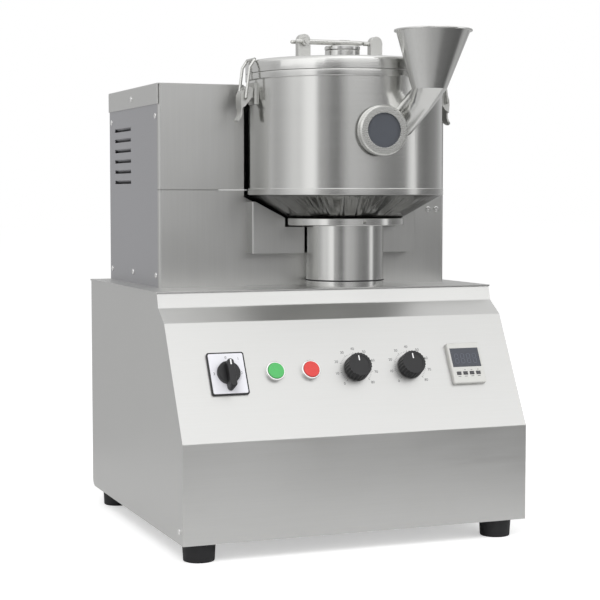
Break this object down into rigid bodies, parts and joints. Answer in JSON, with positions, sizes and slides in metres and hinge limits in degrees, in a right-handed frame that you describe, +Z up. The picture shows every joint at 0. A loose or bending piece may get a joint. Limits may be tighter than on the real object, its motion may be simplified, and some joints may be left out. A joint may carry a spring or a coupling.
{
  "type": "rapid mixer granulator",
  "caption": "Bench high-shear mixer granulator: lidded steel bowl with impeller, side chopper, feed funnel and sight glass on a cabinet with sloping control panel.",
  "frame": {"origin": "on the floor under the middle of the bounding box", "axes": "X to the machine's right seen from the front, Y to the back, Z up"},
  "size_m": [0.483, 0.5268, 0.6764],
  "materials": {
    "cabinet_steel": "satin brushed stainless sheet",
    "bowl_steel": "finely polished turned stainless steel",
    "lug_steel": "matte bead blasted stainless steel",
    "fastener_steel": "bright plated steel",
    "bezel_chrome": "bright",
    "foot_rubber": "matte black",
    "belt_rubber": "ribbed black",
    "gasket_rubber": "smooth off-white silicone",
    "black_plastic": "fine textured black",
    "white_plate": "satin white front in a black edge",
    "green_plastic": "glossy green",
    "red_plastic": "glossy red",
    "timer_plastic": "light grey",
    "timer_glass": "smoked display window",
    "key_plastic": "dark grey",
    "clear_glass": "clear toughened glass",
    "motor_paint": "semi gloss blue grey",
    "cast_metal": "as machined"
  },
  "bodies": {
    "machine": {"cabinet_shell": "cabinet_steel", "base_pan": "cabinet_steel", "rear_panel": "cabinet_steel", "top_plate": "cabinet_steel", "tower_upper_shell": "cabinet_steel", "tower_lower_shell": "cabinet_steel", "tower_side_panel": "cabinet_steel", "tower_top_cover": "cabinet_steel", "tower_back_panel": "cabinet_steel", "cradle_cheek_left": "cabinet_steel", "cradle_cheek_right": "cabinet_steel", "pedestal": "bowl_steel", "neck_flange": "bowl_steel", "bowl_base": "bowl_steel", "bowl_wall": "bowl_steel", "sight_ring": "bowl_steel", "feed_funnel": "bowl_steel", "feed_tube": "bowl_steel", "chopper_housing": "bowl_steel", "latch_bases": "lug_steel", "foot_bolts": "fastener_steel", "panel_screws": "fastener_steel", "spindle_bearings": "fastener_steel", "button_bezels": "bezel_chrome", "feet": "foot_rubber", "pedestal_seal": "foot_rubber", "drive_belt": "belt_rubber", "switch_frame": "white_plate", "timer_case": "timer_plastic", "timer_window": "timer_glass", "sight_glass": "clear_glass", "main_motor": "motor_paint", "chopper_motor": "motor_paint", "spindle_housing": "cast_metal"},
    "impeller_drive": {"impeller_shaft": "bowl_steel", "driven_pulley": "cast_metal", "impeller": "bowl_steel", "impeller_cap": "bowl_steel"},
    "motor_drive": {"motor_pulley": "cast_metal"},
    "chopper": {"chopper_shaft": "bowl_steel", "chopper_blades": "bowl_steel"},
    "lid": {"lid": "bowl_steel", "lid_gasket": "gasket_rubber", "port_collar": "bowl_steel", "lid_lugs": "lug_steel"},
    "port_cap": {"port_cap": "bowl_steel", "cap_bail": "lug_steel"},
    "latch_left": {"latch_lever_left": "lug_steel"},
    "latch_right": {"latch_lever_right": "lug_steel"},
    "loop_left": {"latch_loop_left": "lug_steel"},
    "loop_right": {"latch_loop_right": "lug_steel"},
    "switch_knob": {"switch_knob": "black_plastic"},
    "mixing_speed_knob": {"mixing_speed_knob": "black_plastic"},
    "chopper_speed_knob": {"chopper_speed_knob": "black_plastic"},
    "start_button": {"start_button": "green_plastic"},
    "stop_button": {"stop_button": "red_plastic"},
    "timer_key_1": {"timer_key_1": "key_plastic"},
    "timer_key_2": {"timer_key_2": "key_plastic"},
    "timer_key_3": {"timer_key_3": "key_plastic"},
    "timer_key_4": {"timer_key_4": "key_plastic"}
  },
  "joints": [
    {"name": "impeller_spin", "type": "hinge", "parent": "machine", "child": "impeller_drive", "pos_m": [0.045, -0.03014, 0.47], "axis": [0, 0, 1], "continuous": true},
    {"name": "motor_spin", "type": "hinge", "parent": "machine", "child": "motor_drive", "pos_m": [-0.12, 0.10486, 0.19], "axis": [0, 0, 1], "continuous": true},
    {"name": "chopper_spin", "type": "hinge", "parent": "machine", "child": "chopper", "pos_m": [0.045, 0.08486, 0.52], "axis": [0, 1, 0], "continuous": true},
    {"name": "lid_lift", "type": "slide", "parent": "machine", "child": "lid", "axis": [0, 0, 1], "range_m": [0, 0.045]},
    {"name": "bail_swing", "type": "hinge", "parent": "lid", "child": "port_cap", "pos_m": [-0.0167, -0.03014, 0.6665], "axis": [0, -1, 0], "range_deg": [0, 100]},
    {"name": "latch_left_swing", "type": "hinge", "parent": "machine", "child": "latch_left", "pos_m": [-0.098, -0.03014, 0.598], "axis": [0, 1, 0], "range_deg": [0, 130]},
    {"name": "latch_right_swing", "type": "hinge", "parent": "machine", "child": "latch_right", "pos_m": [0.188, -0.03014, 0.598], "axis": [0, -1, 0], "range_deg": [0, 130]},
    {"name": "loop_left_swing", "type": "hinge", "parent": "latch_left", "child": "loop_left", "pos_m": [-0.104, -0.03014, 0.588], "axis": [0, -1, 0], "range_deg": [0, 175]},
    {"name": "loop_right_swing", "type": "hinge", "parent": "latch_right", "child": "loop_right", "pos_m": [0.194, -0.03014, 0.588], "axis": [0, 1, 0], "range_deg": [0, 175]},
    {"name": "switch_turn", "type": "hinge", "parent": "machine", "child": "switch_knob", "pos_m": [-0.167, -0.15073, 0.23225], "axis": [0, -0.8818, 0.4715], "range_deg": [-60, 60]},
    {"name": "mixing_speed_turn", "type": "hinge", "parent": "machine", "child": "mixing_speed_knob", "pos_m": [0.0106, -0.15073, 0.23225], "axis": [0, -0.8818, 0.4715], "range_deg": [-135, 135]},
    {"name": "chopper_speed_turn", "type": "hinge", "parent": "machine", "child": "chopper_speed_knob", "pos_m": [0.088, -0.15073, 0.23225], "axis": [0, -0.8818, 0.4715], "range_deg": [-135, 135]},
    {"name": "start_press", "type": "slide", "parent": "machine", "child": "start_button", "axis": [0, 0.8818, -0.4715], "range_m": [0, 0.003], "stiffness_N_per_m": 400},
    {"name": "stop_press", "type": "slide", "parent": "machine", "child": "stop_button", "axis": [0, 0.8818, -0.4715], "range_m": [0, 0.003], "stiffness_N_per_m": 400},
    {"name": "timer_key_1_press", "type": "slide", "parent": "machine", "child": "timer_key_1", "axis": [0, 0.8818, -0.4715], "range_m": [0, 0.0006], "stiffness_N_per_m": 500},
    {"name": "timer_key_2_press", "type": "slide", "parent": "machine", "child": "timer_key_2", "axis": [0, 0.8818, -0.4715], "range_m": [0, 0.0006], "stiffness_N_per_m": 500},
    {"name": "timer_key_3_press", "type": "slide", "parent": "machine", "child": "timer_key_3", "axis": [0, 0.8818, -0.4715], "range_m": [0, 0.0006], "stiffness_N_per_m": 500},
    {"name": "timer_key_4_press", "type": "slide", "parent": "machine", "child": "timer_key_4", "axis": [0, 0.8818, -0.4715], "range_m": [0, 0.0006], "stiffness_N_per_m": 500}
  ],
  "couplings": [
    {"joint": "motor_spin", "follows": "impeller_spin", "ratio": 1.636},
    {"joint": "latch_left_swing", "follows": "lid_lift", "rad_per_m": 50.421},
    {"joint": "latch_right_swing", "follows": "lid_lift", "rad_per_m": 50.421},
    {"joint": "loop_left_swing", "follows": "lid_lift", "rad_per_m": 67.874},
    {"joint": "loop_right_swing", "follows": "lid_lift", "rad_per_m": 67.874}
  ]
}
